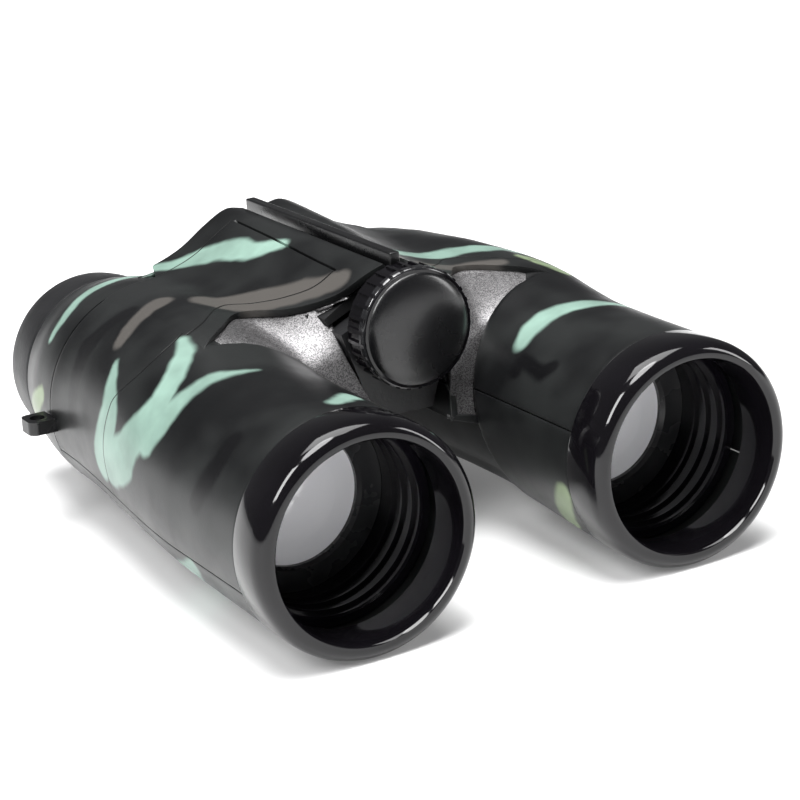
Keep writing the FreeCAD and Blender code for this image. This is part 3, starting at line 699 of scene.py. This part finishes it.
def panelShape(across, along):
    low = panelLeft(0).lerp(panelRight(0), across)
    high = panelTop(across)
    corners = low.lerp(panelTop(0).lerp(panelTop(1), across), along)
    flat = panelLeft(along).lerp(panelRight(along), across) + low.lerp(high, along) - corners
    # It leans back with height, and sweeps in under the lip of the bridge.
    place = panelFront(flat.y) + panel["set"]
    near = min(max(1 - (panelUnder(flat.x) - flat.y) / panel["reach"], 0), 1)
    lip = max(through(deck["lip"], flat.x) + panel["lipSet"], place)
    lean = near**2.2 * (1 - across**4 * (1 - along**6))
    return Vector((flat.x, place + (lip - place) * lean, flat.y))


frontPanel = sheet(panel["cells"], panel["cells"], panelShape)
addHalves("FrontPanel", frontPanel, "half", "sparkle_grey", ["front_panel"], panel["thickness"])
print("panels")


def coverShape(across, along):
    # Out over the skin, then back along the bore.
    turn = math.radians(360 * (1 - across))
    path = along * 2
    y = cover["front"] + (cover["back"] - cover["front"]) * (path if path <= 1 else 2 - path)
    if path <= 1:
        return coverPoint(turn, y)
    return Vector((ocularShift + cover["bore"] * math.cos(turn), y, cover["bore"] * math.sin(turn)))


coverRing = sheet(120, 60, coverShape)
bmesh.ops.remove_doubles(coverRing, verts=coverRing.verts[:], dist=0.001)
bmesh.ops.recalc_face_normals(coverRing, faces=coverRing.faces[:])
addHalves("OcularCover", coverRing, "half", "camo_shell", ["ocular_cover"], rounding=cover["edge"])
print("covers")

# Profiles of the turned pieces, as (radius, along).
turnedParts = {
    "objectiveRing": [
        (17.5, 9.2), (17.5, 0.9), (17.65, 0.45), (17.95, 0.1), (18.4, 0.0), (18.9, 0.03), (19.5, 0.25),
        (20.05, 0.7), (20.5, 1.35), (20.82, 2.2), (20.98, 3.3), (21.0, 4.6), (21.0, 8.9), (20.9, 9.15),
        (20.7, 9.2),
    ],
    "eyecup": [
        (15.4, 115.2), (18.45, 115.0), (18.62, 115.3), (18.6, 116.2), (18.5, 118), (18.0, 123),
        (17.6, 125.6), (17.35, 126.3), (17.1, 126.65), (16.8, 126.85), (16.5, 126.9), (15.6, 126.8),
        (14.9, 126.5), (14.6, 126.1), (14.3, 125.2), (13.6, 122.6), (13.2, 121), (14.4, 120.4),
        (15.4, 119.5),
    ],
    "wheelCap": [
        (0.0, 36.2), (2.5, 36.25), (5.0, 36.42), (7.2, 36.7), (8.8, 37.05), (9.7, 37.35), (10.25, 37.7),
        (10.5, 38.1), (10.55, 38.6), (10.4, 39.15), (0.0, 39.15),
    ],
    "wheelBezel": [(10.7, 38.3), (10.95, 38.35), (11.2, 38.6), (11.35, 38.95), (11.35, 39.7), (10.7, 39.7)],
}
wheelAxis = (0, 42.6)
addHalves("ObjectiveRing", spun(turnedParts["objectiveRing"]), "half", "black_gloss", ["objective_ring"])
addHalves("Eyecup", spun(turnedParts["eyecup"], (ocularShift, 0)), "ocular", "cup_grey", ["eyecup"])
addCentre("WheelCap", spun(turnedParts["wheelCap"], wheelAxis, False), "focus_wheel", "cap_black",
          ["wheel_cap"])
addCentre("WheelBezel", spun(turnedParts["wheelBezel"], wheelAxis), "focus_wheel", "bezel_black",
          ["wheel_bezel"])
print("turned parts")

# The cover bar over the hinge.
bar = {"halfWidth": 1.05, "low": 52.9, "high": 55.5, "front": 44.9, "back": 102.7, "edge": 0.35}
barSize = (2 * bar["halfWidth"], bar["back"] - bar["front"], bar["high"] - bar["low"])
barMiddle = (0, (bar["front"] + bar["back"]) / 2, (bar["low"] + bar["high"]) / 2)
barMesh = bmesh.new()
bmesh.ops.create_cube(barMesh, size=1)
bmesh.ops.scale(barMesh, verts=barMesh.verts[:], vec=barSize)
bmesh.ops.translate(barMesh, verts=barMesh.verts[:], vec=barMiddle)
bmesh.ops.bevel(barMesh, geom=barMesh.edges[:], offset=bar["edge"], affect="EDGES", segments=3, profile=0.5,
                material=-1)
addCentre("CoverBar", barMesh, "centre", "black_satin", ["hinge_cover_bar"])
print("bar")

# Everything else keeps its CAD mesh and takes the finish of its slot.
slotOf = {part["node"]: part["material_slot"] for part in frame["record"]["subparts"]}
for name, item in frame["nodes"].items():
    item.data.materials.clear()
    item.data.materials.append(eyeGlass if name.endswith("eye_lens") else finishes[slotOf[name]])
print("carried over", len(slotOf))

# A plain pale floor, soft lights and the camera. These are in metres and watts.
studio = {
    "floorHalf": 12, "floorGlow": 0.14,
    "lights": {
        "keyLeft": {"place": (-0.62, -0.30, 0.62), "aim": (0, -0.02, 0.03), "size": (0.22, 0.45),
                    "power": 6.0},
        "topSoft": {"place": (0.05, 0.05, 0.9), "aim": (0, 0, 0.03), "size": (0.8, 0.45), "power": 8.0},
        "fillRight": {"place": (0.75, -0.5, 0.30), "aim": (0, -0.02, 0.03), "size": (0.16, 0.5),
                      "power": 2.5},
    },
    "ceilingPower": 3.0, "ceilingSpread": 28, "ceilingTilt": (12, -10),
    "skyColour": (0.97, 0.98, 1.0, 1), "skyPower": 0.12,
    "cameraPlace": (-0.209086, -0.392803, 0.167111), "cameraLens": 110.45, "sensor": 36,
    "bearing": -29.09, "height": 18.04, "roll": -3.64,
}


def addObject(name, data):
    item = bpy.data.objects.new(name, data)
    bpy.context.scene.collection.objects.link(item)
    return item


floorGrid = bmesh.new()
bmesh.ops.create_grid(floorGrid, x_segments=1, y_segments=1, size=studio["floorHalf"])
floor = addObject("floor", toMesh("floor", floorGrid))
paper = plastic("paper", (0.80, 0.80, 0.80), (0.83, 0.83, 0.83), (0.55, 0.65), 200.0, 0.01,
                {"Emission Color": (1, 1, 1, 1), "Emission Strength": studio["floorGlow"]})
floor.data.materials.append(paper)

for name, light in studio["lights"].items():
    lamp = bpy.data.lights.new(name, "AREA")
    lamp.shape = "RECTANGLE"
    lamp.size, lamp.size_y = light["size"]
    lamp.energy = light["power"]
    holder = addObject(name, lamp)
    holder.location = light["place"]
    towards = Vector(light["aim"]) - Vector(light["place"])
    holder.rotation_euler = towards.to_track_quat("-Z", "Y").to_euler()

sun = bpy.data.lights.new("ceiling", "SUN")
sun.energy = studio["ceilingPower"]
sun.angle = math.radians(studio["ceilingSpread"])
ceiling = addObject("ceiling", sun)
ceiling.rotation_euler = [math.radians(angle) for angle in (*studio["ceilingTilt"], 0)]

world = bpy.data.worlds.new("studio")
bpy.context.scene.world = world
world.use_nodes = True
background = world.node_tree.nodes["Background"]
background.inputs["Color"].default_value = studio["skyColour"]
background.inputs["Strength"].default_value = studio["skyPower"]

bearing, height, roll = [math.radians(studio[name]) for name in ("bearing", "height", "roll")]
back = Vector((math.sin(bearing) * math.cos(height), -math.cos(bearing) * math.cos(height),
               math.sin(height)))
level = Vector((0, 0, 1)).cross(back).normalized()
upright = back.cross(level)
right = math.cos(roll) * level + math.sin(roll) * upright
upward = math.cos(roll) * upright - math.sin(roll) * level
lens = bpy.data.cameras.new("camera")
lens.lens = studio["cameraLens"]
lens.sensor_width = studio["sensor"]
camera = addObject("camera", lens)
turnCamera = Matrix((right, upward, back)).transposed().to_4x4()
camera.matrix_world = Matrix.Translation(studio["cameraPlace"]) @ turnCamera
bpy.context.scene.camera = camera
bpy.context.scene.view_settings.view_transform = "Standard"
print("studio")
